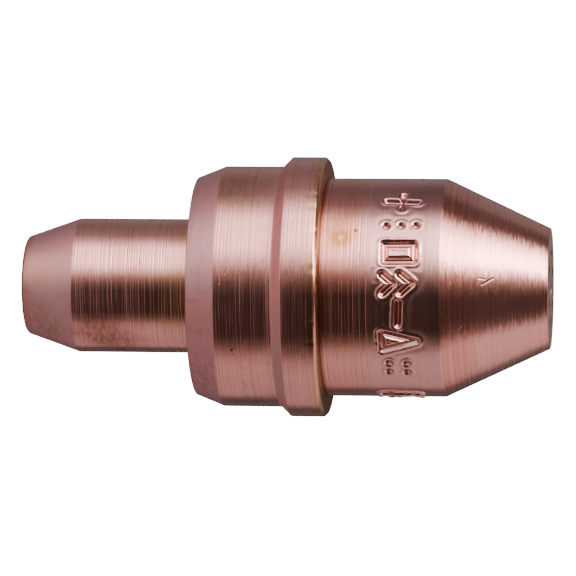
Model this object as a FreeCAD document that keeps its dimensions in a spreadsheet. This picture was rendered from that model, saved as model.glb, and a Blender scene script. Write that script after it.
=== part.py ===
import FreeCAD, Part
import Sketcher
import os
from FreeCAD import Placement, Rotation, Vector

# A cutting tip for an oxy-fuel torch, turned and drilled from one bar of copper.
# It stands on its nose: the inlet end is at z = 0 and the flame leaves at the top, along +Z.
# From the nose up it has the small oxygen seat, the large preheat seat, the collar that the torch's
# nut pulls against, the plain shank and the tapered front. Inside are one oxygen bore down the middle,
# which narrows to the cutting jet, and a ring of slanted preheat passages, each ending in a small port.

# Sizes in millimetres, and one in degrees, each with what it measures.
SIZES = {
    "nose_dia": 11.5,               # plain part of the nose, which fits the torch's small bore
    "nose_length": 14.8,            # from the nose end to the shoulder behind the preheat seat
    "nose_taper_length": 4.55,      # the oxygen seat
    "nose_rim": 1.75,               # width of the nose's end face, round the oxygen bore
    "nose_round": 0.45,             # rounding of the nose's end
    "seat_length": 7.35,            # from the shoulder to the collar
    "seat_taper_length": 2.4,       # the preheat seat
    "seat_taper_drop": 0.95,        # how far the preheat seat's taper comes in
    "collar_step": 0.82,            # how far the collar stands out from the seat, with a 45 degree back
    "collar_width": 3.85,           # the collar, with the slope at its back
    "collar_edge_bevel": 0.25,      # broken edge on the nut's side
    "nut_face_width": 1.8,          # ring that the nut pulls on, from the shank to the collar's outside
    "shank_length": 10.2,           # from the collar to the front taper
    "front_taper_length": 8.85,     # from the shank to the outlet face
    "outlet_rim": 1.8,              # metal outside the flame ports on the outlet face
    "outlet_round": 0.15,           # rounding of the outlet face's edge
    "oxygen_bore_dia": 4.8,         # oxygen bore at the nose
    "oxygen_mouth_bevel": 0.4,      # countersink at the nose
    "oxygen_taper_length": 8.0,     # how far the bore narrows down to the jet
    "oxygen_jet_dia": 1.2,          # the cutting jet
    "oxygen_jet_length": 8.0,       # straight run of the jet behind the outlet face
    "preheat_count": 6,             # passages round the oxygen bore
    "preheat_passage_dia": 2.0,     # each passage from the shoulder
    "preheat_inlet_land": 0.8,      # metal on each side of a passage's mouth on the shoulder
    "preheat_port_dia": 0.9,        # each flame port
    "preheat_port_length": 4.0,     # depth of a flame port
    "preheat_ring_dia": 5.8,        # circle of the flame ports on the outlet face
    "drill_point_angle": 118,       # point of the drill, where a passage meets its port
}
DRILL_OVERSHOOT = 2.0   # how far a cutter starts outside the solid
FULL_TURN = 360.0

# Heights above the nose end, as formulas on the sheet's cells.
SHOULDER = "Sizes.nose_length"
SEAT_TOP = f"{SHOULDER} + Sizes.seat_taper_length"
COLLAR_BACK = f"{SHOULDER} + Sizes.seat_length"
COLLAR_TOP = f"{COLLAR_BACK} + Sizes.collar_step"
COLLAR_FRONT = f"{COLLAR_BACK} + Sizes.collar_width"
SHANK_TOP = f"{COLLAR_FRONT} + Sizes.shank_length"
OUTLET = f"{SHANK_TOP} + Sizes.front_taper_length"
JET_START = f"{OUTLET} - Sizes.oxygen_jet_length"
BORE_END = f"{JET_START} - Sizes.oxygen_taper_length"

# Radii, from the nose outwards: the shoulder is as wide as a passage and the metal on both its sides.
BORE_RADIUS = "Sizes.oxygen_bore_dia / 2"
NOSE_END_RADIUS = f"{BORE_RADIUS} + Sizes.nose_rim"
NOSE_RADIUS = "Sizes.nose_dia / 2"
SEAT_END_RADIUS = f"{NOSE_RADIUS} + Sizes.preheat_passage_dia + 2 * Sizes.preheat_inlet_land"
SEAT_RADIUS = f"{SEAT_END_RADIUS} + Sizes.seat_taper_drop"
COLLAR_RADIUS = f"{SEAT_RADIUS} + Sizes.collar_step"
SHANK_RADIUS = f"{COLLAR_RADIUS} - Sizes.nut_face_width"
OUTLET_RADIUS = "(Sizes.preheat_ring_dia + Sizes.preheat_port_dia) / 2 + Sizes.outlet_rim"

# A preheat passage starts midway across the shoulder and leans in towards the jet.
PASSAGE_RADIUS = "Sizes.preheat_passage_dia / 2"
PORT_RADIUS = "Sizes.preheat_port_dia / 2"
PORT_RING_RADIUS = "Sizes.preheat_ring_dia / 2"
INLET_RING_RADIUS = f"({NOSE_RADIUS} + {SEAT_END_RADIUS}) / 2"
PASSAGE_RISE = f"({OUTLET} - {SHOULDER})"
PASSAGE_RUN = f"({INLET_RING_RADIUS} - {PORT_RING_RADIUS})"
PASSAGE_LEAN = f"atan({PASSAGE_RUN} / {PASSAGE_RISE})"
PASSAGE_LENGTH = f"{PASSAGE_RISE} / cos({PASSAGE_LEAN})"
POINT_LENGTH = f"({PASSAGE_RADIUS} - {PORT_RADIUS}) / tan(Sizes.drill_point_angle / 2)"

AXIS = None   # stands for "on the turning axis" in a list of corners


def make_sheet(doc):
    """The driving dimensions, one row each: name, value."""
    sheet = doc.addObject("Spreadsheet::Sheet", "Sizes")
    for row, (name, value) in enumerate(SIZES.items(), start=1):
        sheet.set(f"A{row}", name)
        sheet.set(f"B{row}", str(value))
        sheet.setAlias(f"B{row}", name)
    doc.recompute()
    return sheet


def origin_item(body, role):
    """The body's own plane or axis with that role."""
    for item in body.Origin.OriginFeatures:
        if item.Role == role:
            return item
    raise ValueError(f"the body has no {role}")


def value_of(item, formula):
    """What a formula on the sheet's cells comes to now, as a plain number."""
    found = item.evalExpression(formula)
    return float(getattr(found, "Value", found))


def new_sketch(body, name):
    """An empty sketch in the plane through the turning axis: across is the radius, up is the height."""
    sketch = body.newObject("Sketcher::SketchObject", name)
    sketch.AttachmentSupport = [(origin_item(body, "XZ_Plane"), "")]
    sketch.MapMode = "FlatFace"
    return sketch


def draw_half_section(sketch, corners):
    """Draws a closed outline through corners, each (radius formula or AXIS, height formula), and ties
    every corner to its formulas."""
    origin, across_axis, up_axis = -1, -1, -2
    start_point, end_point = 1, 2
    points = []
    for radius, height in corners:
        across = 0.0 if radius is AXIS else value_of(sketch, radius)
        points.append(Vector(across, value_of(sketch, height), 0))
    count = len(points)
    for i in range(count):
        sketch.addGeometry(Part.LineSegment(points[i], points[(i + 1) % count]), False)
    for i in range(count):
        following = (i + 1) % count
        sketch.addConstraint(
            Sketcher.Constraint("Coincident", i, end_point, following, start_point)
        )
    for i, (radius, height) in enumerate(corners):
        if radius is AXIS:
            sketch.addConstraint(Sketcher.Constraint("PointOnObject", i, start_point, up_axis))
        else:
            tie(sketch, "DistanceX", i, start_point, points[i].x, radius, f"radius_{i}")
        if height == "0":
            sketch.addConstraint(Sketcher.Constraint("PointOnObject", i, start_point, across_axis))
        else:
            tie(sketch, "DistanceY", i, start_point, points[i].y, height, f"height_{i}")


def tie(sketch, kind, line, end, value, formula, name):
    """One dimension from the sketch's origin to a line's end, driven by a formula."""
    origin, origin_point = -1, 1
    dimension = Sketcher.Constraint(kind, origin, origin_point, line, end, value)
    index = sketch.addConstraint(dimension)
    sketch.renameConstraint(index, name)
    sketch.setExpression(f"Constraints.{name}", formula)


def turn_blank(body):
    """The outside, turned from bar."""
    sketch = new_sketch(body, "turned_outline")
    draw_half_section(sketch, [
        (AXIS, "0"),
        (NOSE_END_RADIUS, "0"),
        (NOSE_RADIUS, "Sizes.nose_taper_length"),
        (NOSE_RADIUS, SHOULDER),
        (SEAT_END_RADIUS, SHOULDER),
        (SEAT_RADIUS, SEAT_TOP),
        (SEAT_RADIUS, COLLAR_BACK),
        (COLLAR_RADIUS, COLLAR_TOP),
        (COLLAR_RADIUS, COLLAR_FRONT),
        (SHANK_RADIUS, COLLAR_FRONT),
        (SHANK_RADIUS, SHANK_TOP),
        (OUTLET_RADIUS, OUTLET),
        (AXIS, OUTLET),
    ])
    blank = body.newObject("PartDesign::Revolution", "turned_blank")
    blank.Profile = sketch
    blank.ReferenceAxis = (sketch, ["V_Axis"])
    blank.Angle = FULL_TURN
    return blank


def cut_round(body, sketch, name):
    """A cut made by turning a sketch about its own upright axis."""
    groove = body.newObject("PartDesign::Groove", name)
    groove.Profile = sketch
    groove.ReferenceAxis = (sketch, ["V_Axis"])
    groove.Angle = FULL_TURN
    return groove


def bore_oxygen(body):
    """The oxygen bore, from the countersunk mouth in the nose to the cutting jet."""
    sketch = new_sketch(body, "oxygen_bore_section")
    draw_half_section(sketch, [
        (AXIS, "0"),
        (f"{BORE_RADIUS} + Sizes.oxygen_mouth_bevel", "0"),
        (BORE_RADIUS, "Sizes.oxygen_mouth_bevel"),
        (BORE_RADIUS, BORE_END),
        ("Sizes.oxygen_jet_dia / 2", JET_START),
        ("Sizes.oxygen_jet_dia / 2", f"{OUTLET} + {DRILL_OVERSHOOT}"),
        (AXIS, f"{OUTLET} + {DRILL_OVERSHOOT}"),
    ])
    return cut_round(body, sketch, "oxygen_bore")


def drill_preheat(body):
    """One stepped preheat passage, drawn on its own leaning axis, then repeated round the bore."""
    sketch = new_sketch(body, "preheat_passage_section")
    sketch.AttachmentOffset = Placement(Vector(0, 0, 0), Rotation(Vector(0, 0, 1), 1))
    sketch.setExpression("AttachmentOffset.Base.x", PORT_RING_RADIUS)
    sketch.setExpression("AttachmentOffset.Base.y", OUTLET)
    sketch.setExpression("AttachmentOffset.Rotation.Angle", PASSAGE_LEAN)
    port_foot = "-Sizes.preheat_port_length"
    point_foot = f"{port_foot} - {POINT_LENGTH}"
    inlet = f"-({PASSAGE_LENGTH}) - {DRILL_OVERSHOOT}"
    draw_half_section(sketch, [
        (AXIS, inlet),
        (PASSAGE_RADIUS, inlet),
        (PASSAGE_RADIUS, point_foot),
        (PORT_RADIUS, port_foot),
        (PORT_RADIUS, f"{DRILL_OVERSHOOT}"),
        (AXIS, f"{DRILL_OVERSHOOT}"),
    ])
    passage = cut_round(body, sketch, "preheat_passage")
    ring = body.newObject("PartDesign::PolarPattern", "preheat_ring")
    ring.Originals = [passage]
    ring.Axis = (origin_item(body, "Z_Axis"), [""])
    ring.Angle = FULL_TURN
    ring.setExpression("Occurrences", "Sizes.preheat_count")
    body.Tip = ring
    return ring


def ring_edges(item, radius, height):
    """Names of the item's round edges about the turning axis with that radius and height."""
    near = 1e-4
    names = []
    for number, edge in enumerate(item.Shape.Edges, start=1):
        curve = edge.Curve
        if not isinstance(curve, Part.Circle):
            continue
        centre = curve.Center
        on_axis = abs(centre.x) < near and abs(centre.y) < near
        if on_axis and abs(centre.z - height) < near and abs(curve.Radius - radius) < near:
            names.append(f"Edge{number}")
    if not names:
        raise ValueError(f"no round edge of radius {radius} at height {height}")
    return names


def finish_edge(body, base, kind, name, size, radius, height):
    """Rounds or bevels one turned edge. kind is Fillet or Chamfer, and size names a cell."""
    edges = ring_edges(base, value_of(base, radius), value_of(base, height))
    finish = body.newObject(f"PartDesign::{kind}", name)
    finish.Base = (base, edges)
    finish.setExpression("Radius" if kind == "Fillet" else "Size", f"Sizes.{size}")
    body.Tip = finish
    body.Document.recompute()
    return finish


def break_edges(body, base):
    """The edges that the real tip has rounded or bevelled."""
    base = finish_edge(body, base, "Fillet", "nose_end_rounding", "nose_round",
                       NOSE_END_RADIUS, "0")
    base = finish_edge(body, base, "Chamfer", "collar_front_bevel", "collar_edge_bevel",
                       COLLAR_RADIUS, COLLAR_FRONT)
    return finish_edge(body, base, "Fillet", "outlet_edge_rounding", "outlet_round",
                       OUTLET_RADIUS, OUTLET)


def check(doc, bodies):
    """Stops if anything in the document failed, or a piece isn't one sound solid."""
    for item in doc.Objects:
        if {"Invalid", "Error"} & set(item.State):
            raise RuntimeError(f"{item.Name} failed: {item.State}")
    for body in bodies:
        shape = body.Shape
        if shape.isNull() or not shape.isValid() or len(shape.Solids) != 1:
            raise RuntimeError(f"{body.Label} isn't one valid solid")


def must_cut(before, after, name):
    """Stops if a cut took nothing away."""
    if after >= before:
        raise RuntimeError(f"{name} cut nothing")
    print(f"{name}: {before:.1f} to {after:.1f} cubic mm")


doc = FreeCAD.newDocument("cutting_tip_model")
make_sheet(doc)
tip = doc.addObject("PartDesign::Body", "cutting_tip")
tip.Label = "cutting_tip"

turn_blank(tip)
doc.recompute()
volume_turned = tip.Shape.Volume

bore_oxygen(tip)
doc.recompute()
volume_bored = tip.Shape.Volume
must_cut(volume_turned, volume_bored, "oxygen bore")

preheat_ring = drill_preheat(tip)
doc.recompute()
volume_drilled = tip.Shape.Volume
must_cut(volume_bored, volume_drilled, "preheat passages")

break_edges(tip, preheat_ring)
doc.recompute()
must_cut(volume_drilled, tip.Shape.Volume, "broken edges")

check(doc, [tip])
os.makedirs("parts", exist_ok=True)
tip.Shape.exportStep(f"parts/{tip.Label}.step")
print(f"{tip.Label}: {tip.Shape.BoundBox}, {tip.Shape.Volume:.1f} cubic mm")
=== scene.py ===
# %% [markdown]
# A cutting tip for an oxy-fuel torch, turned from one bar of bare copper.
# The solid model gives its size and place. This lesson gives it its looks: crisp turned edges, fine
# tool lines, pressed marks, stains and dings, and the soft studio light that the metal mirrors.
# The model is loaded first, because every later piece goes where it says.

# %% Load the frame
import bpy
import bmesh
import math
import random
from mathutils import Matrix, Vector, noise


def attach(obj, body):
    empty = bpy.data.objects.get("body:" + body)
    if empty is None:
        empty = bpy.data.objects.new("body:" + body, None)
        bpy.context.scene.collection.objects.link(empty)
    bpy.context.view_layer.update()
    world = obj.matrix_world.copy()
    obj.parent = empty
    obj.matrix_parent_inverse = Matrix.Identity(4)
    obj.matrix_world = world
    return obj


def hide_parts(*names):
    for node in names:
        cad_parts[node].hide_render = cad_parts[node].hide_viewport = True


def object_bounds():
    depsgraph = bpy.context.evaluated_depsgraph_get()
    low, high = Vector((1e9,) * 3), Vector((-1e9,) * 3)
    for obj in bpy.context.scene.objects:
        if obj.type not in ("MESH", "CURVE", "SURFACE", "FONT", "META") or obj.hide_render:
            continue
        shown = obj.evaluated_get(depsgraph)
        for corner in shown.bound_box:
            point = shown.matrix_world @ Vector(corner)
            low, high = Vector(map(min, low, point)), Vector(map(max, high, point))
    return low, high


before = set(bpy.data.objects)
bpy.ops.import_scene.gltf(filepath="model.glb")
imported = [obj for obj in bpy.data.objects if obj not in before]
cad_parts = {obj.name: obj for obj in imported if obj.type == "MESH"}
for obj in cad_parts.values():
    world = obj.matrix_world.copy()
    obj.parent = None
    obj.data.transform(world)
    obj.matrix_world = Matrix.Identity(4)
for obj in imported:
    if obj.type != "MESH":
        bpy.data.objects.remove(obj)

frame_low, frame_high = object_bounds()
print("frame", [round(v, 5) for v in frame_low], [round(v, 5) for v in frame_high])

# %% [markdown]
# The outside of the tip is a stack of plain turned forms, so a few heights and radii say it all.
# They repeat the solid model's sizes. Heights count from the end of the nose, which stands on the
# floor, up to the flame end. Everything is written in millimetres and turned into metres here.

# %% Sizes of the turned profile
MM = 0.001

NOSE_TAPER_TOP = 4.55 * MM
SHOULDER = 14.8 * MM
SEAT_TAPER_TOP = 17.2 * MM
COLLAR_BACK = 22.15 * MM
COLLAR_BEVEL_TOP = 22.97 * MM
COLLAR_FRONT = 26.0 * MM
SHANK_TOP = 36.2 * MM
OUTLET = frame_high.z

BORE_RADIUS = 2.4 * MM
JET_RADIUS = 0.6 * MM
MOUTH_BEVEL = 0.4 * MM
JET_START = OUTLET - 8.0 * MM
BORE_END = JET_START - 8.0 * MM
NOSE_END_RADIUS = 4.15 * MM
NOSE_RADIUS = 5.75 * MM
SEAT_END_RADIUS = 9.35 * MM
SEAT_RADIUS = 10.3 * MM
COLLAR_RADIUS = 11.12 * MM
COLLAR_BEVEL = 0.25 * MM
SHANK_RADIUS = 9.32 * MM
OUTLET_RADIUS = 5.15 * MM

STAMP_BAND_LOW = 30.2 * MM
STAMP_BAND_HIGH = 35.2 * MM
TOUCH = 0.01 * MM
print("length of the tip", round(OUTLET / MM, 2), "mm")

# %% [markdown]
# Most steps pick vertices or faces by where they are, so this helper does the picking.
# It works in edit mode and leaves only what the test accepts selected.

# %% Pick parts of a mesh by their place
def pick(kind, test):
    """Selects the verts, edges or faces of the edited mesh that the test accepts, and counts them."""
    mesh = bpy.context.edit_object.data
    bpy.ops.mesh.select_mode(type=kind)
    bpy.ops.mesh.select_all(action="DESELECT")
    shape = bmesh.from_edit_mesh(mesh)
    items = {"VERT": shape.verts, "EDGE": shape.edges, "FACE": shape.faces}[kind]
    count = 0
    for item in items:
        if test(item):
            item.select_set(True)
            count += 1
    shape.select_flush_mode()
    bmesh.update_edit_mesh(mesh)
    return count


def near(value, wanted, tolerance=0.002 * MM):
    return abs(value - wanted) < tolerance


# %% [markdown]
# A turner makes this part by following one outline. So the half section is drawn the same way: one
# vertex is pulled from corner to corner, up the outside and back down the bore, and the ends are
# joined. The loop stays off the axis, because the bore runs through, so the spun solid has no poles.

# %% Draw the half section
def draw_half_section(name, corners):
    """A closed chain of edges through (radius, height) corners, in the plane y = 0."""
    bpy.ops.object.select_all(action="DESELECT")
    bpy.ops.mesh.primitive_plane_add(size=MM, location=(0, 0, 0))
    piece = bpy.context.object
    piece.name = name
    bpy.ops.object.mode_set(mode="EDIT")
    bpy.ops.mesh.merge(type="CENTER")
    place = Vector((corners[0][0], 0, corners[0][1]))
    bpy.ops.transform.translate(value=place)
    for radius, height in corners[1:]:
        step = Vector((radius, 0, height)) - place
        bpy.ops.mesh.extrude_vertices_move(TRANSFORM_OT_translate={"value": step})
        place += step
    ends = [Vector((r, 0, h)) for r, h in (corners[0], corners[-1])]
    pick("VERT", lambda v: min((v.co - end).length for end in ends) < 0.002 * MM)
    bpy.ops.mesh.edge_face_add()
    bpy.ops.object.mode_set(mode="OBJECT")
    return piece


outside_corners = [
    (NOSE_END_RADIUS, 0),
    (NOSE_RADIUS, NOSE_TAPER_TOP),
    (NOSE_RADIUS, SHOULDER),
    (SEAT_END_RADIUS, SHOULDER),
    (SEAT_RADIUS, SEAT_TAPER_TOP),
    (SEAT_RADIUS, COLLAR_BACK),
    (COLLAR_RADIUS, COLLAR_BEVEL_TOP),
    (COLLAR_RADIUS, COLLAR_FRONT),
    (SHANK_RADIUS, COLLAR_FRONT),
    (SHANK_RADIUS, STAMP_BAND_LOW),
    (SHANK_RADIUS, STAMP_BAND_HIGH),
    (SHANK_RADIUS, SHANK_TOP),
    (OUTLET_RADIUS, OUTLET),
]
tip_corners = [
    (BORE_RADIUS + MOUTH_BEVEL, 0),
    *outside_corners,
    (JET_RADIUS, OUTLET),
    (JET_RADIUS, JET_START),
    (BORE_RADIUS, BORE_END),
    (BORE_RADIUS, MOUTH_BEVEL),
]
tip = draw_half_section("cutting_tip_copper", tip_corners)
print("half section:", len(tip.data.vertices), "corners,", len(tip.data.edges), "edges")

# %% [markdown]
# No turned edge is razor sharp. The nose's end is rounded, the collar's front edge is broken at 45
# degrees, and the rest have a hair of rounding, which is what catches the light. A bevel on the
# chain's vertices gives each corner its size before it is spun, so one bevel does a whole ring.

# %% Round the corners
def round_corner(radius, height, reach, segments):
    """Bevels the chain's vertex at that place. reach is how far along both edges it goes."""
    found = pick("VERT", lambda v: near(v.co.x, radius) and near(v.co.z, height))
    bpy.ops.mesh.bevel(offset=reach, offset_type="OFFSET", segments=segments, affect="VERTICES")
    return found


HAIR = 0.06 * MM
# Radius, height, reach and segments. The last two are the corners that the collar's broken edge makes.
CORNERS = [
    (BORE_RADIUS + MOUTH_BEVEL, 0, 0.05 * MM, 2),
    (NOSE_END_RADIUS, 0, 0.32 * MM, 8),
    (NOSE_RADIUS, NOSE_TAPER_TOP, 0.10 * MM, 3),
    (SEAT_END_RADIUS, SHOULDER, 0.08 * MM, 3),
    (SEAT_RADIUS, SEAT_TAPER_TOP, 0.12 * MM, 3),
    (SEAT_RADIUS, COLLAR_BACK, HAIR, 2),
    (COLLAR_RADIUS, COLLAR_BEVEL_TOP, HAIR, 3),
    (COLLAR_RADIUS, COLLAR_FRONT, COLLAR_BEVEL, 1),
    (SHANK_RADIUS, SHANK_TOP, 0.10 * MM, 3),
    (OUTLET_RADIUS, OUTLET, HAIR, 3),
    (JET_RADIUS, OUTLET, 0.03 * MM, 2),
    (COLLAR_RADIUS, COLLAR_FRONT - COLLAR_BEVEL, HAIR, 2),
    (COLLAR_RADIUS - COLLAR_BEVEL, COLLAR_FRONT, HAIR, 2),
]
bpy.context.view_layer.objects.active = tip
bpy.ops.object.mode_set(mode="EDIT")
rounded = [round_corner(*corner) for corner in CORNERS]
bpy.ops.object.mode_set(mode="OBJECT")
print("corners rounded:", sum(rounded), "vertices now", len(tip.data.vertices))

# %% [markdown]
# Long plain stretches get rows of their own, so that small dings have something to move and shading
# stays true next to the roundings. The band that holds the pressed marks gets the finest rows.

# %% Divide the long stretches
ROW_PITCH = 0.7 * MM
BAND_ROW_PITCH = 0.165 * MM


def in_stamp_band(height):
    return STAMP_BAND_LOW - TOUCH < height < STAMP_BAND_HIGH + TOUCH


def divide_rows(test, pitch):
    """Cuts each edge that the test accepts into lengths near the pitch."""
    shape = bmesh.from_edit_mesh(tip.data)
    lengths = {round(e.calc_length(), 7) for e in shape.edges if test(e)}
    for length in sorted(lengths):
        cuts = round(length / pitch) - 1
        if cuts > 0:
            pick("EDGE", lambda e: test(e) and near(e.calc_length(), length, 1e-7))
            bpy.ops.mesh.subdivide(number_cuts=cuts)


def is_band_edge(edge):
    middle = (edge.verts[0].co + edge.verts[1].co) / 2
    return middle.x > BORE_RADIUS * 2 and STAMP_BAND_LOW < middle.z < STAMP_BAND_HIGH


def is_outside_edge(edge):
    middle = (edge.verts[0].co + edge.verts[1].co) / 2
    return middle.x > BORE_RADIUS * 1.2 and not is_band_edge(edge)


bpy.ops.object.mode_set(mode="EDIT")
divide_rows(is_outside_edge, ROW_PITCH)
divide_rows(is_band_edge, BAND_ROW_PITCH)
bpy.ops.object.mode_set(mode="OBJECT")
print("rows round the section:", len(tip.data.vertices))

# %% [markdown]
# Spinning the chain a full turn makes the solid, as the lathe does. A step of one degree keeps the
# outline smooth at this size. The seam is merged, and the normals are then made to face outwards,
# because a spin can turn a shape inside out.

# %% Spin the section
SPIN_STEPS = 360
MERGE_DISTANCE = 0.0005 * MM

bpy.ops.object.mode_set(mode="EDIT")
bpy.ops.mesh.select_all(action="SELECT")
bpy.ops.mesh.spin(
    steps=SPIN_STEPS, angle=math.tau, center=(0, 0, 0), axis=(0, 0, 1), use_auto_merge=True
)
bpy.ops.mesh.select_all(action="SELECT")
bpy.ops.mesh.remove_doubles(threshold=MERGE_DISTANCE)
bpy.ops.mesh.normals_make_consistent(inside=False)
bpy.ops.object.mode_set(mode="OBJECT")
print("spun solid:", len(tip.data.polygons), "faces")

# %% [markdown]
# Six drilled passages carry the preheat gas. Each starts in the shoulder behind the large seat,
# leans in, and steps down to a small port in the outlet face. One drill is modelled from a cylinder:
# its top is pulled in to the port's size and pulled up again. It is copied round the axis and cut
# away with a Boolean modifier, as the real drill would cut.

# %% Drill the preheat passages
PASSAGE_COUNT = 6
PASSAGE_RADIUS = 1.0 * MM
PORT_RADIUS = 0.45 * MM
PORT_LENGTH = 4.0 * MM
PORT_RING_RADIUS = 2.9 * MM
INLET_RING_RADIUS = (NOSE_RADIUS + SEAT_END_RADIUS) / 2
POINT_ANGLE = math.radians(118)
OVERSHOOT = 1.0 * MM
DRILL_SIDES = 32


def make_drill(turn):
    """A stepped drill in its passage, turned round the tip's axis."""
    rise = OUTLET - SHOULDER
    run = INLET_RING_RADIUS - PORT_RING_RADIUS
    lean = math.atan2(run, rise)
    length = math.hypot(run, rise)
    point = (PASSAGE_RADIUS - PORT_RADIUS) / math.tan(POINT_ANGLE / 2)
    wide = length - PORT_LENGTH - point + OVERSHOOT
    bpy.ops.object.select_all(action="DESELECT")
    bpy.ops.mesh.primitive_cylinder_add(vertices=DRILL_SIDES, radius=PASSAGE_RADIUS, depth=wide)
    drill = bpy.context.object
    bpy.ops.object.mode_set(mode="EDIT")
    pick("FACE", lambda f: f.normal.z > 0.9)
    bpy.ops.mesh.extrude_region_move(TRANSFORM_OT_translate={"value": (0, 0, point)})
    shrink = PORT_RADIUS / PASSAGE_RADIUS
    bpy.ops.transform.resize(value=(shrink, shrink, 1))
    up = PORT_LENGTH + OVERSHOOT
    bpy.ops.mesh.extrude_region_move(TRANSFORM_OT_translate={"value": (0, 0, up)})
    bpy.ops.object.mode_set(mode="OBJECT")
    inlet = Matrix.Translation((INLET_RING_RADIUS, 0, SHOULDER))
    tilt = Matrix.Rotation(-lean, 4, "Y")
    start = Matrix.Translation((0, 0, wide / 2 - OVERSHOOT))
    drill.data.transform(Matrix.Rotation(turn, 4, "Z") @ inlet @ tilt @ start)
    drill.matrix_world = Matrix.Identity(4)
    return drill


for number in range(PASSAGE_COUNT):
    drill = make_drill(number * math.tau / PASSAGE_COUNT)
    bpy.context.view_layer.objects.active = tip
    cut = tip.modifiers.new("passage", "BOOLEAN")
    cut.operation = "DIFFERENCE"
    cut.object = drill
    cut.solver = "EXACT"
    bpy.ops.object.modifier_apply(modifier=cut.name)
    bpy.data.objects.remove(drill)
print("drilled:", len(tip.data.polygons), "faces")

# %% [markdown]
# The shank carries a row of marks struck with hand punches. Real punches push metal aside, so each
# stroke is a groove with a raised lip. No operator presses a soft groove into a curved face, so this
# is done in code: the faces under the marks are divided first, and each vertex is then moved in or
# out by its distance from the strokes. The marks here are plain shapes that say nothing.

# %% Divide the faces under the marks
def angle_up(place):
    """Angle round the axis from the side that faces the camera, towards the top of the picture."""
    return math.atan2(-place.x, -place.y)


STAMP_FROM = math.radians(-100)
STAMP_TO = math.radians(66)
STAMP_CUTS = 2


def under_the_marks(face):
    middle = face.calc_center_median()
    return (
        near(middle.xy.length, SHANK_RADIUS, 0.05 * MM)
        and in_stamp_band(middle.z)
        and STAMP_FROM < angle_up(middle) < STAMP_TO
    )


bpy.ops.object.select_all(action="DESELECT")
tip.select_set(True)
bpy.context.view_layer.objects.active = tip
bpy.ops.object.mode_set(mode="EDIT")
print("faces under the marks:", pick("FACE", under_the_marks))
bpy.ops.mesh.subdivide(number_cuts=STAMP_CUTS)
bpy.ops.object.mode_set(mode="OBJECT")
print("after dividing:", len(tip.data.polygons), "faces")

# %% [markdown]
# Each mark is a plain figure that a hand punch can strike: dots, bars, a plus, a frame, a wedge or
# chevrons. Curve objects could draw them, but a few points for each stroke are enough here, because
# the next step needs only the distance to the nearest stroke.

# %% The shapes of the marks
# Each mark is a list of strokes, and a stroke is a list of (along, across) points in millimetres:
# along the tip towards the flame end, and across towards the top of the picture.
def closed(*points):
    return [*points, points[0]]


BAR = [[(0.0, -0.95), (0.0, 0.95)]]
TWIN_BARS = [[(-1.45, -0.5), (1.45, -0.5)], [(-1.45, 0.5), (1.45, 0.5)]]
PLUS = [[(-1.3, 0.0), (1.3, 0.0)], [(0.0, -0.9), (0.0, 0.9)]]
FRAME = [closed((-1.25, -0.75), (-1.25, 0.75), (1.25, 0.75), (1.25, -0.75))]
WEDGE = [closed((-1.35, -0.82), (-1.35, 0.82), (1.5, 0.0))]
CHEVRONS = [
    [(-1.35, -0.8), (-0.45, 0.0), (-1.35, 0.8)],
    [(0.15, -0.8), (1.05, 0.0), (0.15, 0.8)],
]


def dots(*places):
    return [[(u, v), (u + 0.02, v)] for u, v in places]


THREE_DOTS = dots((-1.25, 0.0), (0.0, 0.0), (1.25, 0.0))
FOUR_DOTS = dots((-0.75, -0.5), (-0.75, 0.5), (0.75, -0.5), (0.75, 0.5))

STAMP_HEIGHT = 32.8 * MM
# Angle in degrees, shift along the tip in mm, slant in degrees, height of the lip in mm, strokes.
MARKS = [
    (51.0, 0.05, -3.0, 0.05, PLUS),
    (34.0, 0.05, 1.5, 0.05, THREE_DOTS),
    (18.5, -0.05, 1.0, 0.05, FRAME),
    (2.0, -0.05, 2.0, 0.06, CHEVRONS),
    (-14.0, -0.10, -2.5, 0.06, BAR),
    (-29.5, -0.15, 2.0, 0.05, WEDGE),
    (-46.5, -0.22, -2.0, 0.06, FOUR_DOTS),
    (-78.0, -0.30, -3.0, 0.16, TWIN_BARS),
]


# %% [markdown]
# A punch pushes the metal down and squeezes it up beside the stroke. So each vertex moves by its
# distance from the nearest stroke: a groove with sloping sides, a lip beside it, and a shallow dish
# round the whole mark. The lips are uneven, as soft copper's are, and the lowest mark, which was
# struck hardest, has the highest ones. The depth fades out at both ends of the finely divided band.

# %% Press the marks
# These are in millimetres, apart from the unevenness, which is a share of the lip's height.
GROOVE_DEPTH = 0.28
GROOVE_FLAT = 0.03
GROOVE_EDGE = 0.37
LIP_PLACE = 0.47
LIP_WIDTH = 0.15
LIP_UNEVEN = 0.7
LIP_GRAIN = 0.55
DISH_DEPTH = 0.06
DISH_REACH = 1.3
MARK_REACH = 2.6
BAND_FADE = 0.4
FAR = 99.0


def stroke_distance(u, v, stroke):
    """Distance in mm from a point to the nearest part of a stroke."""
    best = FAR
    for (au, av), (bu, bv) in zip(stroke, stroke[1:]):
        du = bu - au
        dv = bv - av
        share = ((u - au) * du + (v - av) * dv) / (du * du + dv * dv)
        share = min(1.0, max(0.0, share))
        best = min(best, math.hypot(u - au - share * du, v - av - share * dv))
    return best


def smooth(low, high, value):
    share = min(1.0, max(0.0, (value - low) / (high - low)))
    return share * share * (3 - 2 * share)


def press(distance, lip_height):
    """How far the surface moves outwards, in mm, at that distance from a stroke."""
    groove = -GROOVE_DEPTH * (1 - smooth(GROOVE_FLAT, GROOVE_EDGE, distance))
    lip = lip_height * math.exp(-(((distance - LIP_PLACE) / LIP_WIDTH) ** 2))
    dish = -DISH_DEPTH * (1 - smooth(0, DISH_REACH, distance))
    return groove + lip + dish


def move_out(vertex, radius):
    reach = vertex.co.xy.length
    vertex.co.x *= radius / reach
    vertex.co.y *= radius / reach


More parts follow.
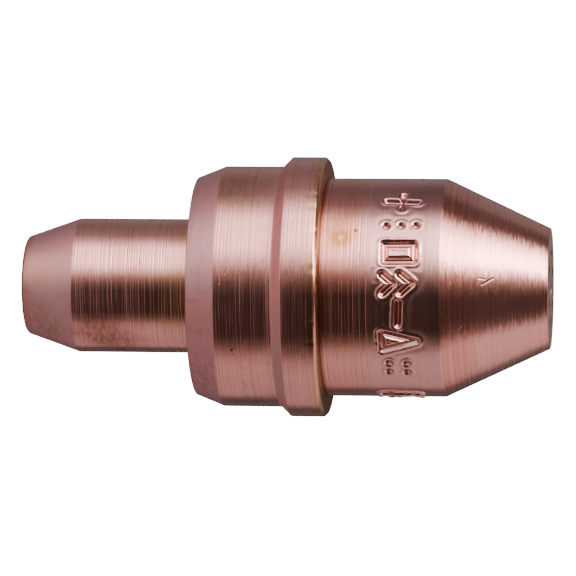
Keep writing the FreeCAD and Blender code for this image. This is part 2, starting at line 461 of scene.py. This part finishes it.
pressed = 0
for vertex in tip.data.vertices:
    place = vertex.co
    if not in_stamp_band(place.z) or not near(place.xy.length, SHANK_RADIUS, 0.02 * MM):
        continue
    angle = angle_up(place)
    distance = FAR
    lip_height = 0.0
    for degrees, shift, slant, lip, strokes in MARKS:
        across = (angle - math.radians(degrees)) * SHANK_RADIUS / MM
        if abs(across) > MARK_REACH:
            continue
        along = (place.z - STAMP_HEIGHT) / MM - shift
        turn = math.radians(slant)
        u = along * math.cos(turn) + across * math.sin(turn)
        v = across * math.cos(turn) - along * math.sin(turn)
        apart = min(stroke_distance(u, v, stroke) for stroke in strokes)
        if apart < distance:
            distance = apart
            lip_height = lip * (1 + LIP_UNEVEN * noise.noise(place / (LIP_GRAIN * MM)))
    if distance < DISH_REACH:
        edge = smooth(STAMP_BAND_LOW, STAMP_BAND_LOW + BAND_FADE * MM, place.z)
        edge *= 1 - smooth(STAMP_BAND_HIGH - BAND_FADE * MM, STAMP_BAND_HIGH, place.z)
        move_out(vertex, SHANK_RADIUS + press(distance, lip_height) * edge * MM)
        pressed += 1
    else:
        move_out(vertex, SHANK_RADIUS)
print("vertices pressed:", pressed)

# %% [markdown]
# Copper is soft, so the collar's front edge and the shank have small knocks from the nut and from
# the bench. Each knock is a shallow round dent at a place that a seeded random draw chose.

# %% Knock the edges
# Millimetres again: how far a knock lies from the edge, how wide it is, and how deep.
KNOCK_SEED = 7
KNOCK_COUNT = 26
KNOCK_BAND = 0.45
KNOCK_SIZES = (0.2, 0.5)
KNOCK_DEPTHS = (0.02, 0.06)
RIM_HEIGHT = 0.9 * MM
RIM_WIDTH = 0.5 * MM

knock_random = random.Random(KNOCK_SEED)
knocks = []
for _ in range(KNOCK_COUNT):
    turn = knock_random.uniform(0, math.tau)
    height = COLLAR_FRONT - knock_random.uniform(0.0, KNOCK_BAND) * MM
    size = knock_random.uniform(*KNOCK_SIZES) * MM
    knocks.append((turn, height, size, knock_random.uniform(*KNOCK_DEPTHS) * MM))


def knock_edge(vertex):
    """Pushes a vertex of the collar's front edge in, where a knock reaches it."""
    place = vertex.co
    reach = place.xy.length
    turn = math.atan2(place.y, place.x)
    for at, height, size, depth in knocks:
        apart = (turn - at + math.pi) % math.tau - math.pi
        distance = math.hypot(apart * reach, place.z - height)
        if distance < size:
            move_out(vertex, reach - depth * (1 - smooth(0, size, distance)))
            return True
    return False


rim = [
    v for v in tip.data.vertices
    if COLLAR_FRONT - RIM_HEIGHT < v.co.z < COLLAR_FRONT + TOUCH
    and v.co.xy.length > COLLAR_RADIUS - RIM_WIDTH
]
print("rim vertices:", len(rim), "knocked:", sum(knock_edge(v) for v in rim))

# %% [markdown]
# The finished solid is shaded smooth, with the true edges kept sharp by their angle. The faced
# ends are shaded flat, because their narrow roundings would otherwise make them look dished. A
# Weighted Normal modifier lets the large faces set the shading, so a cylinder mirrors as a cylinder
# right up to its rounded edge.

# %% Shade the solid
SHARP_ANGLE = math.radians(40)

bpy.ops.object.select_all(action="DESELECT")
tip.select_set(True)
bpy.context.view_layer.objects.active = tip
bpy.ops.object.shade_smooth_by_angle(angle=SHARP_ANGLE)
bpy.ops.object.mode_set(mode="EDIT")
print("flat faces:", pick("FACE", lambda f: abs(f.normal.z) > 0.999))
bpy.ops.mesh.faces_shade_flat()
bpy.ops.object.mode_set(mode="OBJECT")
weighted = tip.modifiers.new("shading", "WEIGHTED_NORMAL")
weighted.mode = "FACE_AREA"
weighted.weight = 80
weighted.keep_sharp = True
bpy.ops.object.modifier_apply(modifier=weighted.name)
open_edges = bmesh.new()
open_edges.from_mesh(tip.data)
print("edges that aren't closed:", sum(1 for e in open_edges.edges if not e.is_manifold))
open_edges.free()
tip.data.calc_loop_triangles()
print("triangles:", len(tip.data.loop_triangles))

# %% [markdown]
# The copper's finish is worked out with arithmetic on shader sockets. This small class wraps a
# socket, so that a sum or a product of two of them adds the Math node that does it.

# %% Arithmetic on sockets
class Wire:
    """A value that runs through a node tree."""

    def __init__(self, paint, socket):
        self.paint = paint
        self.socket = socket

    def math(self, operation, *others):
        values = dict(enumerate([self, *others]))
        return self.paint.add("ShaderNodeMath", {"operation": operation}, values)

    def __add__(self, other):
        return self.math("ADD", other)

    def __radd__(self, other):
        return self.math("ADD", other)

    def __sub__(self, other):
        return self.math("SUBTRACT", other)

    def __rsub__(self, other):
        return self.paint.add("ShaderNodeMath", {"operation": "SUBTRACT"}, {0: other, 1: self})

    def __mul__(self, other):
        return self.math("MULTIPLY", other)

    def __rmul__(self, other):
        return self.math("MULTIPLY", other)

    def __truediv__(self, other):
        return self.math("DIVIDE", other)

    def band(self, low, high):
        """0 below low, 1 above high, smooth between."""
        settings = {"interpolation_type": "SMOOTHSTEP", "clamp": True}
        return self.paint.add("ShaderNodeMapRange", settings, {0: self, 1: low, 2: high})


class Paint:
    """A node tree with one method that adds any node."""

    def __init__(self, tree):
        self.tree = tree
        tree.nodes.clear()

    def add(self, kind, settings=None, values=None, output=0):
        """Adds a node, sets its settings, then its sockets by name or number, and returns an output."""
        node = self.tree.nodes.new(kind)
        for name, setting in (settings or {}).items():
            if name == "stops":
                set_stops(node.color_ramp, setting)
            else:
                setattr(node, name, setting)
        for name, value in (values or {}).items():
            socket = node.inputs[name]
            if isinstance(value, Wire):
                self.tree.links.new(value.socket, socket)
            else:
                socket.default_value = value
        return Wire(self, node.outputs[output]) if node.outputs else None

    def vector(self, operation, *values, output=0):
        """A Vector Math node."""
        return self.add("ShaderNodeVectorMath", {"operation": operation}, dict(enumerate(values)), output)

    def mix(self, share, first, second):
        """A colour between two colours."""
        return self.add(
            "ShaderNodeMix", {"data_type": "RGBA"}, {0: share, 6: first, 7: second}, output=2
        )


def set_stops(ramp, stops):
    while len(ramp.elements) < len(stops):
        ramp.elements.new(1.0)
    for element, (place, colour) in zip(ramp.elements, stops):
        element.position = place
        element.color = (*colour, 1.0)


# %% [markdown]
# All the finishes start from the same bare copper. A lathe tool leaves fine rings of uneven depth.
# They are noise that changes only along the tip's axis, so each ring runs right round, and it is
# bent a little, so that some rings fade. Each ring leans the surface's normal up or down the axis.
# Shorter streaks lean it round the axis, which frays the edges of what the metal mirrors. Leaning
# the normal sets the slope itself, where a Bump node would need the right depth for each width.

# %% Rings, streaks and leaning normals
UP = (0.0, 0.0, 1.0)
WANDER_SCALE = 180.0
FLANK = 0.08


def rings(paint, height, place, pitch, drift, detail=2.0):
    """Turned rings about a pitch apart, from -1 to 1, mostly near 0."""
    wander = paint.add(
        "ShaderNodeTexNoise", None, {"Vector": place, "Scale": WANDER_SCALE, "Detail": 1.0}
    )
    along = height / pitch + wander * drift
    level = paint.add(
        "ShaderNodeTexNoise", {"noise_dimensions": "1D"}, {"W": along, "Scale": 1.0, "Detail": detail}
    )
    return level * 2.0 - 1.0


def score_slope(paint, height, place, pitch, low, high):
    """The two flanks of narrow grooves where the rings are highest, from -1 to 1."""
    above = rings(paint, height + pitch * FLANK, place, pitch, 0.1, 0.0).band(low, high)
    below = rings(paint, height - pitch * FLANK, place, pitch, 0.1, 0.0).band(low, high)
    return above - below


def streaks(paint, place, pitch, length, detail=2.0):
    """Short scratches round the axis, from -1 to 1, mostly near 0."""
    stretched = paint.add(
        "ShaderNodeMapping", None, {"Vector": place, "Scale": (1 / length, 1 / length, 1 / pitch)}
    )
    level = paint.add("ShaderNodeTexNoise", None, {"Vector": stretched, "Scale": 1.0, "Detail": detail})
    return level * 2.0 - 1.0


def scale(paint, vector, size):
    return paint.add("ShaderNodeVectorMath", {"operation": "SCALE"}, {0: vector, 3: size})


def lean(paint, along, around, dents):
    """The surface's normal with a slope added up the axis, another round it, and those of dents."""
    normal = paint.add("ShaderNodeNewGeometry", output="Normal")
    sideways = paint.vector("CROSS_PRODUCT", UP, normal)
    raised = paint.add("ShaderNodeCombineXYZ", None, {"Z": along})
    slope = paint.vector("ADD", scale(paint, sideways, around), raised)
    for dent_slope in dents:
        slope = paint.vector("ADD", slope, dent_slope)
    return paint.vector("NORMALIZE", paint.vector("ADD", normal, slope))


# %% [markdown]
# Handling and storage leave their own marks: brown stains, a greenish patina, a few dark pits. Each
# is a soft patch round a named place on the surface, made ragged by noise. Pale and dark patches made
# the same way paint light and shade on some sides. A ring that runs all the way round is a belt
# between two heights. Most belts are tarnished or tinted rings; two are painted shade in the corner at
# the shank's root. Small dents and scratches lean the normal towards their middle line, which is
# enough at a tenth of a millimetre.

# %% Places and patches
SPECKLE_HEIGHT = 0.30 * MM
SPECKLE_WIDTH = 0.75 * MM


def radius_at(height):
    """The outside radius at a height."""
    for (r0, h0), (r1, h1) in zip(outside_corners, outside_corners[1:]):
        if h0 <= height <= h1 and h1 > h0:
            return r0 + (r1 - r0) * (height - h0) / (h1 - h0)
    return OUTLET_RADIUS


def on_surface(degrees, height):
    """The point at an angle from the camera's side, upwards in the picture, and a height."""
    turn = math.radians(degrees)
    reach = radius_at(height)
    return Vector((-reach * math.sin(turn), -reach * math.cos(turn), height))


def patch(paint, place, degrees, height, reach, mottling=0.0):
    """1 at a named place on the surface, falling to 0 at reach, and broken up by mottling."""
    distance = paint.vector("DISTANCE", place, tuple(on_surface(degrees, height)), output=1)
    soft = 1.0 - (distance / reach).band(0.2, 1.0)
    if not mottling:
        return soft
    speckle = streaks(paint, place, SPECKLE_HEIGHT, SPECKLE_WIDTH, 4.0).band(-0.30, 0.40)
    return soft * (1.0 - mottling + speckle * mottling)


def dent(paint, place, slope, reach, start, end):
    """The slope of a small dent, or of a scratch from one (degrees, height) place to another."""
    first = on_surface(*start)
    run = on_surface(*end) - first
    offset = paint.vector("SUBTRACT", place, tuple(first))
    share = paint.vector("DOT_PRODUCT", offset, tuple(run / run.length_squared), output=1)
    share = share.math("MAXIMUM", 0.0).math("MINIMUM", 1.0)
    away = paint.vector("SUBTRACT", offset, scale(paint, tuple(run), share))
    distance = paint.vector("LENGTH", away, output=1)
    return scale(paint, away, (1.0 - (distance / reach).band(0.4, 1.0)) * (-slope / reach))


def belt(height, low, high):
    """1 on the whole ring between two heights, soft over the last quarter at both ends."""
    soft = (high - low) / 4
    return height.band(low, low + soft) * (1.0 - height.band(high - soft, high))


# %% [markdown]
# One function makes every copper finish, so that they stay one metal. What differs is how deep the
# rings are, how frayed, how rough, and how stained. Noise seldom comes near the ends of its range, so
# the gains stretch it, and a slope given to the function is then about what the surface gets.

# %% The common copper
COPPER = (0.95, 0.52, 0.485, 1.0)
DULL_COPPER = (0.93, 0.52, 0.53, 1.0)
WARM_COPPER = (0.96, 0.46, 0.37, 1.0)
BEVEL_COPPER = (0.95, 0.50, 0.50, 1.0)
FACED_COPPER = (0.84, 0.59, 0.54, 1.0)
PALE_COPPER = (0.95, 0.56, 0.52, 1.0)
# Pale copper painted on as light, where a side should look brighter.
PAINTED_LIGHT_COPPER = (0.97, 0.68, 0.66, 1.0)
TARNISH = (0.58, 0.29, 0.11, 1.0)
# Darker copper painted on as shade, where a side should look darker.
PAINTED_SHADE_COPPER = (0.56, 0.29, 0.30, 1.0)
BROWN = (0.36, 0.17, 0.11, 1.0)
UMBER = (0.42, 0.24, 0.15, 1.0)
OLIVE = (0.80, 0.50, 0.30, 1.0)
PATINA = (0.46, 0.36, 0.20, 1.0)
RING_COLOUR = (0.80, 0.36, 0.30, 1.0)

WIDE_PITCH = 0.28 * MM
CLOSE_PITCH = 0.11 * MM
DEEP_PITCH = 0.18 * MM
FINE_PITCH = 0.10 * MM
SCORE_BAND = (0.16, 0.46)
WIDE_GAIN = 2.2
GAIN = 2.0
CLOUD_SCALE = 210.0
WAVE_SCALE = 420.0
SPOT_SCALE = 900.0


def make_copper(name, colour=COPPER, wide=0.05, close=0.05, scored=0.0, frayed=0.01, wavy=0.0,
                rough=0.2, rough_rings=0.1, stretch=0.8, tinted=0.5, grime=0.2, belts=(), stains_and_painted_shading=(),
                dents=()):
    """A copper finish. wide, close, scored, frayed and wavy are slopes, and stretch smears
    reflections along the axis. Each belt or patch is a colour, a strength, and the arguments of
    belt or patch, and each dent holds the arguments of dent. Some patches and belts are stains
    and tints, and some paint light and shade."""
    material = bpy.data.materials.new(name)
    material.use_nodes = True
    paint = Paint(material.node_tree)
    place = paint.add("ShaderNodeTexCoord", output="Object")
    height = paint.add("ShaderNodeSeparateXYZ", None, {0: place}, output="Z")
    cloud = paint.add(
        "ShaderNodeTexNoise", None, {"Vector": place, "Scale": CLOUD_SCALE, "Detail": 3.0}
    )

    wide_rings = rings(paint, height, place, WIDE_PITCH, 0.5)
    close_rings = rings(paint, height, place, CLOSE_PITCH, 0.8)
    deep_score = score_slope(paint, height, place, DEEP_PITCH, *SCORE_BAND)
    fine_score = score_slope(paint, height, place, FINE_PITCH, *SCORE_BAND)
    score = (deep_score + fine_score * 0.8) * (0.4 + 0.8 * cloud.band(0.36, 0.56))
    scratch = streaks(paint, place, 0.07 * MM, 4.0 * MM)
    teeth = streaks(paint, place, 0.12 * MM, 0.8 * MM)
    waves = paint.add("ShaderNodeTexNoise", None, {"Vector": place, "Scale": WAVE_SCALE, "Detail": 1.0})
    along = wide_rings * (WIDE_GAIN * wide) + close_rings * (GAIN * close)
    along = along + scratch * (GAIN * close) + score * scored
    around = teeth * (GAIN * frayed) + (waves - 0.5) * (GAIN * wavy)
    normal = lean(paint, along, around, [dent(paint, place, *where) for where in dents])

    base = paint.mix((wide_rings - close_rings).band(-0.1, 0.8) * tinted, colour, RING_COLOUR)
    spots = paint.add("ShaderNodeTexNoise", None, {"Vector": place, "Scale": SPOT_SCALE, "Detail": 3.0})
    dirt = (cloud.band(0.50, 0.75) * 0.6 + (spots + teeth * 0.25).band(0.55, 0.80) * 0.7) * grime
    base = paint.mix(dirt, base, BROWN)
    for belt_colour, strength, low, high in belts:
        share = belt(height, low, high) * (1.0 + wide_rings * 1.6) * strength
        base = paint.mix(share, base, belt_colour)
    # Stains, and pale or dark patches that paint light and shade on chosen sides.
    for patch_colour, strength, *where in stains_and_painted_shading:
        base = paint.mix(patch(paint, place, *where) * strength, base, patch_colour)

    roughness = rough + close_rings * rough_rings + dirt * 0.2
    shader = paint.add(
        "ShaderNodeBsdfPrincipled", None,
        {
            "Base Color": base, "Metallic": 1.0, "Roughness": roughness, "Normal": normal,
            "Anisotropic": stretch, "Anisotropic Rotation": 0.25,
        },
    )
    paint.add("ShaderNodeOutputMaterial", None, {"Surface": shader})
    return material


# %% [markdown]
# The two tapered seats and the collar's bevel were finished with a form tool and are smooth and dull.
# The plain lengths are only turned and show their rings. The shank is rubbed paler where the marks
# are, because it was dressed after they were struck. The front was polished a little, the faces are
# rough, and gas and heat have browned the bore. Each finish has a few stains and dings at named
# places: an angle from the camera's side, upwards in the picture, and a height. Some patches are
# painted light and shade instead: pale copper on one side of each taper and on the lower sides of the
# bevel and the shank, and darker copper on the upper sides of the bevel and the shank. Two umber belts
# paint the shade in the corner where the shank meets the collar's front face.

# %% The finishes
NOSE_STAINS = [
    (BROWN, 0.62, -44.0, 6.6 * MM, 3.0 * MM, 0.5),
    (BROWN, 0.50, -56.0, 8.4 * MM, 2.8 * MM, 0.5),
    (OLIVE, 0.55, -10.0, 13.9 * MM, 4.5 * MM),
    (OLIVE, 0.60, 44.0, 14.3 * MM, 1.8 * MM),
]
TAPER_BELTS = [(RING_COLOUR, 0.35, -0.2 * MM, 0.9 * MM), (UMBER, 0.60, -0.3 * MM, 0.22 * MM)]
# The pale patches at 22 and -22 degrees are painted light; the rest are stains and tints.
TAPER_STAINS_AND_PAINTED_LIGHT = [
    (OLIVE, 0.30, 12.0, 2.6 * MM, 3.2 * MM, 0.3),
    (WARM_COPPER, 0.45, 34.0, 3.9 * MM, 2.2 * MM, 0.4),
    (WARM_COPPER, 0.35, 20.0, 0.5 * MM, 2.6 * MM, 0.4),
    (PATINA, 0.40, -38.0, 2.2 * MM, 2.4 * MM, 0.7),
    (BROWN, 0.20, -56.0, 2.0 * MM, 4.0 * MM, 0.9),
    (PAINTED_LIGHT_COPPER, 0.30, 22.0, 16.2 * MM, 4.5 * MM, 0.5),
    (WARM_COPPER, 0.35, -14.0, 15.6 * MM, 2.6 * MM, 0.5),
    (WARM_COPPER, 0.30, 46.0, 16.8 * MM, 2.6 * MM, 0.5),
    (BROWN, 0.26, -50.0, 16.0 * MM, 3.6 * MM, 0.9),
    (PATINA, 0.14, -62.0, 16.4 * MM, 4.0 * MM, 0.6),
    (PAINTED_LIGHT_COPPER, 0.40, -22.0, 3.2 * MM, 3.6 * MM, 0.2),
]
# Painted light on the bevel's lower side and painted shade on its upper side.
BEVEL_PAINTED_LIGHT_AND_SHADE = [
    (PAINTED_LIGHT_COPPER, 0.75, -36.0, 22.5 * MM, 8.5 * MM),
    (PAINTED_SHADE_COPPER, 0.50, 56.0, 22.5 * MM, 4.5 * MM),
]
SEAT_STAINS = [
    (BROWN, 0.95, -31.1, 18.76 * MM, 0.22 * MM),
    (OLIVE, 0.20, 50.0, 18.6 * MM, 4.0 * MM, 0.4),
    (BROWN, 0.20, 54.0, 18.3 * MM, 3.5 * MM, 0.5),
]
SEAT_BELTS = [(OLIVE, 0.45, 25.0 * MM, 26.3 * MM)]
SEAT_DENTS = [
    (0.5, 0.11 * MM, (1.0, 17.80 * MM), (11.0, 17.74 * MM)),
    (0.4, 0.14 * MM, (-31.1, 18.76 * MM), (-33.5, 18.90 * MM)),
    (0.5, 0.16 * MM, (-14.7, 25.55 * MM), (-16.5, 25.85 * MM)),
    (0.3, 0.10 * MM, (8.5, 18.45 * MM), (5.5, 18.25 * MM)),
]
# The pale patch at -45 degrees is painted light and the dark one at 58 degrees painted shade; the pit and
# the tarnished ring are stains.
SHANK_STAINS_AND_PAINTED_SHADING = [
    (BROWN, 0.95, 30.6, 29.06 * MM, 0.25 * MM),
    (PAINTED_LIGHT_COPPER, 0.25, -45.0, 27.60 * MM, 4.00 * MM, 0.4),
    (TARNISH, 0.50, 29.0, 27.45 * MM, 2.40 * MM, 0.6),
    (TARNISH, 1.00, 26.4, 27.83 * MM, 1.20 * MM, 0.3),
    (COPPER, 0.60, 26.4, 27.83 * MM, 0.46 * MM),
    (PAINTED_SHADE_COPPER, 0.40, 58.0, 28.6 * MM, 4.5 * MM),
]
# Both patches are painted shade on the upper side of the rubbed shank.
RUBBED_PAINTED_SHADE = [
    (PAINTED_SHADE_COPPER, 0.55, 56.0, 31.5 * MM, 4.5 * MM),
    (PAINTED_SHADE_COPPER, 0.75, 56.0, 35.6 * MM, 4.5 * MM),
]
# The umber belt is painted shade in the corner at the shank's root; the warm belt is a tint.
SHANK_TINT_AND_PAINTED_ROOT_SHADE = [(WARM_COPPER, 0.60, 26.0 * MM, 29.6 * MM), (UMBER, 0.80, 25.7 * MM, 26.3 * MM)]
FRONT_BELTS = [(RING_COLOUR, 0.40, 35.5 * MM, 39.5 * MM)]
# Painted shade on the collar's front face, in the corner at the shank's root.
FACED_PAINTED_ROOT_SHADE = [(UMBER, 0.70, 25.5 * MM, 26.5 * MM)]
FRONT_DENTS = [
    (0.3, 0.16 * MM, (2.2, 39.66 * MM), (6.4, 40.55 * MM)),
    (0.25, 0.13 * MM, (6.0, 39.40 * MM), (5.5, 39.90 * MM)),
    (0.25, 0.13 * MM, (-25.2, 37.75 * MM), (-22.6, 38.05 * MM)),
    (0.5, 0.18 * MM, (-10.6, 36.32 * MM), (-12.6, 36.38 * MM)),
    (0.25, 0.10 * MM, (33.0, 42.90 * MM), (41.0, 42.95 * MM)),
    (0.20, 0.10 * MM, (36.0, 40.20 * MM), (43.0, 40.30 * MM)),
    (0.15, 0.10 * MM, (3.0, 37.10 * MM), (6.0, 37.05 * MM)),
]
finishes = {
    "dull seat": make_copper(
        "dull seat", DULL_COPPER, wide=0.012, close=0.012, frayed=0.0, rough=0.37, rough_rings=0.04,
        stretch=0.2, tinted=0.15, grime=0.25, belts=TAPER_BELTS, stains_and_painted_shading=TAPER_STAINS_AND_PAINTED_LIGHT,
    ),
    "dull bevel": make_copper(
        "dull bevel", BEVEL_COPPER, wide=0.01, close=0.01, frayed=0.0, rough=0.6, rough_rings=0.04,
        stretch=0.2, tinted=0.2, grime=0.2, stains_and_painted_shading=BEVEL_PAINTED_LIGHT_AND_SHADE,
    ),
    "turned nose": make_copper(
        "turned nose", wide=0.01, close=0.05, scored=0.45, frayed=0.015, rough=0.18, rough_rings=0.08,
        grime=0.3, stains_and_painted_shading=NOSE_STAINS,
    ),
    "turned seat": make_copper(
        "turned seat", wide=0.005, close=0.06, scored=0.22, frayed=0.02, rough=0.18, rough_rings=0.08,
        grime=0.2, belts=SEAT_BELTS, stains_and_painted_shading=SEAT_STAINS, dents=SEAT_DENTS,
    ),
    "turned shank": make_copper(
        "turned shank", wide=0.02, close=0.04, scored=0.30, frayed=0.02, wavy=0.015, rough=0.19,
        rough_rings=0.06, stretch=0.7, grime=0.15, belts=SHANK_TINT_AND_PAINTED_ROOT_SHADE, stains_and_painted_shading=SHANK_STAINS_AND_PAINTED_SHADING,
    ),
    "rubbed shank": make_copper(
        "rubbed shank", PALE_COPPER, wide=0.01, close=0.025, scored=0.05, frayed=0.02, wavy=0.04, rough=0.22,
        rough_rings=0.04, stretch=0.6, tinted=0.2, grime=0.12, stains_and_painted_shading=RUBBED_PAINTED_SHADE,
    ),
    "polished front": make_copper(
        "polished front", wide=0.01, close=0.05, scored=0.05, frayed=0.04, wavy=0.025, rough=0.25,
        rough_rings=0.06, tinted=0.4, grime=0.1, belts=FRONT_BELTS, dents=FRONT_DENTS,
    ),
    "faced end": make_copper(
        "faced end", FACED_COPPER, wide=0.0, close=0.0, frayed=0.0, rough=0.42, rough_rings=0.0,
        stretch=0.0, tinted=0.0, grime=0.5, belts=FACED_PAINTED_ROOT_SHADE,
    ),
    "bore": make_copper(
        "bore", UMBER, wide=0.05, close=0.05, rough=0.6, rough_rings=0.05, stretch=0.2, grime=0.8,
    ),
}
finish_names = list(finishes)
for name in finish_names:
    tip.data.materials.append(finishes[name])
print("finishes:", len(finish_names))

# %% [markdown]
# The tip stays one mesh, so each face is given its finish by where it is, as a turner would name the
# parts of the outline. Faces square to the axis are faced, and what lies well inside the outline is
# the bore or a passage.

# %% Give each face its finish
FACED_HEIGHTS = (SHOULDER, COLLAR_FRONT, OUTLET)
FACED_DEPTH = 0.02 * MM
INSIDE_DEPTH = 0.45 * MM
FINISH_TOPS = [
    (NOSE_TAPER_TOP, "dull seat"),
    (SHOULDER, "turned nose"),
    (SEAT_TAPER_TOP, "dull seat"),
    (COLLAR_BACK, "turned seat"),
    (COLLAR_BEVEL_TOP, "dull bevel"),
    (COLLAR_FRONT, "turned seat"),
    (STAMP_BAND_LOW, "turned shank"),
    (SHANK_TOP, "rubbed shank"),
    (OUTLET, "polished front"),
]


def finish_of(middle):
    """The name of the finish at a face's middle."""
    if any(near(middle.z, height, FACED_DEPTH) for height in FACED_HEIGHTS):
        return "faced end"
    if middle.z > FACED_DEPTH and middle.xy.length < radius_at(middle.z) - INSIDE_DEPTH:
        return "bore"
    return next(finish for top, finish in FINISH_TOPS if middle.z < top)


counts = dict.fromkeys(finish_names, 0)
for polygon in tip.data.polygons:
    name = finish_of(Vector(polygon.center))
    polygon.material_index = finish_names.index(name)
    counts[name] += 1
print("faces by finish:", counts)

# %% [markdown]
# Bare metal shows only what it mirrors, so the light is designed first as a reflection. Round the
# tip stand a large bright panel above the camera's axis, a dark gap, and a dimmer panel below. The
# sky is made of those panels: its brightness depends on the direction round the tip, and a second
# and third set of levels serve what mirrors the ground and what mirrors the upper part.

# %% The studio round the tip
world = bpy.data.worlds.new("studio")
bpy.context.scene.world = world
world.use_nodes = True
studio = Paint(world.node_tree)

BACKDROP = 4.0
WHITE = (1.0, 1.0, 1.0)
CREAM = (1.0, 0.93, 0.84)
ROSE = (1.0, 0.92, 0.91)


def panel_stops(levels):
    """Ramp stops from (degrees round from the camera, upwards in the picture, level, tint)."""
    return [
        ((degrees + 180) / 360, tuple(level * part for part in tint)) for degrees, level, tint in levels
    ]


LEVEL_PANELS = panel_stops([
    (-180, 0.08, WHITE), (-168, 0.09, WHITE), (-156, 0.15, WHITE), (-146, 0.13, ROSE), (-138, 0.16, ROSE),
    (-128, 0.36, ROSE), (-84, 0.42, ROSE), (-72, 0.36, ROSE), (-60, 0.17, CREAM), (-48, 0.058, CREAM),
    (-8, 0.054, CREAM), (2, 0.13, CREAM), (12, 0.30, CREAM), (22, 0.66, WHITE), (32, 1.04, WHITE),
    (42, 1.16, WHITE), (66, 1.12, WHITE), (76, 0.78, WHITE), (86, 0.46, WHITE), (98, 0.28, WHITE),
    (120, 0.22, WHITE), (145, 0.25, WHITE), (166, 0.20, WHITE), (180, 0.08, WHITE),
])
HIGH_PANELS = panel_stops([
    (-180, 0.12, WHITE), (-140, 0.30, WHITE), (-128, 0.50, ROSE), (-76, 0.56, ROSE), (-60, 0.14, CREAM),
    (-50, 0.10, CREAM), (-12, 0.12, CREAM), (2, 0.23, CREAM), (16, 0.44, CREAM), (28, 1.4, WHITE),
    (40, 3.2, WHITE), (62, 2.6, WHITE), (76, 1.7, WHITE), (95, 0.15, CREAM), (118, 0.13, CREAM),
    (130, 0.25, WHITE), (180, 0.20, WHITE),
])
LOW_PANELS = panel_stops([
    (-180, 0.18, WHITE), (-120, 0.27, ROSE), (-80, 0.29, ROSE), (-30, 0.33, ROSE), (6, 0.40, WHITE),
    (36, 0.66, WHITE), (62, 0.68, WHITE), (90, 0.42, WHITE), (130, 0.25, WHITE), (180, 0.20, WHITE),
])

direction = studio.add("ShaderNodeTexCoord", output="Generated")
ray = {axis: studio.add("ShaderNodeSeparateXYZ", None, {0: direction}, output=axis) for axis in "XYZ"}
around = (ray["X"] * -1.0).math("ARCTAN2", ray["Y"] * -1.0) / math.tau + 0.5
level_light, high_light, low_light = (
    studio.add("ShaderNodeValToRGB", {"stops": stops}, {0: around})
    for stops in (LEVEL_PANELS, HIGH_PANELS, LOW_PANELS)
)
going_down = ray["Z"].band(-0.12, -0.50)
going_up = ray["Z"].band(0.05, 0.45)
studio_light = studio.mix(going_up, studio.mix(going_down, level_light, low_light), high_light)
mirrored = studio.add("ShaderNodeBackground", None, {"Color": studio_light, "Strength": 1.0})
seen = studio.add("ShaderNodeBackground", None, {"Color": (*WHITE, 1.0), "Strength": BACKDROP})
straight = studio.add("ShaderNodeLightPath", output="Is Camera Ray")
both = studio.add("ShaderNodeMixShader", None, {0: straight, 1: mirrored, 2: seen})
studio.add("ShaderNodeOutputWorld", None, {"Surface": both})
print("studio panels:", len(LEVEL_PANELS), len(HIGH_PANELS), len(LOW_PANELS))

# %% [markdown]
# The tip stands on a plain pale table. A lamp straight above brightens the table only, so that it
# stays nearly white without washing out the metal.

# %% The table and its lamp
FLOOR_SIZE = 6.0
LAMP_POWER = 12.0
LAMP_SPREAD = math.radians(60)
LAMP_HEIGHT = 0.5

bpy.ops.object.select_all(action="DESELECT")
bpy.ops.mesh.primitive_plane_add(size=FLOOR_SIZE, location=(0, 0, 0))
floor = bpy.context.object
floor.name = "floor"
floor_material = bpy.data.materials.new("pale table")
floor_material.use_nodes = True
table_paint = Paint(floor_material.node_tree)
table_shader = table_paint.add(
    "ShaderNodeBsdfPrincipled", None, {"Base Color": (0.9, 0.9, 0.9, 1.0), "Roughness": 0.9}
)
table_paint.add("ShaderNodeOutputMaterial", None, {"Surface": table_shader})
floor.data.materials.append(floor_material)
floor.visible_glossy = False

lamp_data = bpy.data.lights.new("table lamp", "SUN")
lamp_data.energy = LAMP_POWER
lamp_data.angle = LAMP_SPREAD
lamp_data.use_shadow = False
lamp = bpy.data.objects.new("table lamp", lamp_data)
lamp.location = (0, 0, LAMP_HEIGHT)
lamp.visible_glossy = False
bpy.context.scene.collection.objects.link(lamp)
print("table", FLOOR_SIZE, "m")

# %% [markdown]
# The photograph shows the tip lying along the picture, nose to the left, seen almost square on. So
# the camera looks at it level, a little from above the flame end, and is rolled a quarter turn.

# %% The camera
CAMERA_DISTANCE = 393.5 * MM
CAMERA_RISE = math.radians(6.24)
AIM_HEIGHT = 22.50 * MM
AIM_DOWN = 0.120 * MM
AXIS_TILT = math.radians(0.445)
SENSOR = 36.0
PICTURE = 576
FOCAL_PIXELS = 4588.0

back = Vector((0, -math.cos(CAMERA_RISE), math.sin(CAMERA_RISE)))
across = Vector((0, math.sin(CAMERA_RISE), math.cos(CAMERA_RISE)))
up = Vector((-1, 0, 0))
right = across * math.cos(AXIS_TILT) + up * math.sin(AXIS_TILT)
picture_up = back.cross(right)
aim = Vector((0, 0, AIM_HEIGHT)) - picture_up * AIM_DOWN
camera_data = bpy.data.cameras.new("camera")
camera_data.sensor_width = SENSOR
camera_data.lens = FOCAL_PIXELS * SENSOR / PICTURE
camera_data.clip_start = 0.01
camera = bpy.data.objects.new("camera", camera_data)
turned = Matrix((right, picture_up, back)).transposed().to_4x4()
camera.matrix_world = Matrix.Translation(aim + back * CAMERA_DISTANCE) @ turned
bpy.context.scene.collection.objects.link(camera)
bpy.context.scene.camera = camera
bpy.context.scene.view_settings.view_transform = "AgX"
bpy.context.scene.view_settings.look = "AgX - Very High Contrast"
print("lens", round(camera_data.lens, 1), "mm")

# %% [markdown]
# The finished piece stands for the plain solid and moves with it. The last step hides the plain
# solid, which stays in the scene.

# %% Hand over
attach(tip, "root")
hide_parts("cutting_tip")
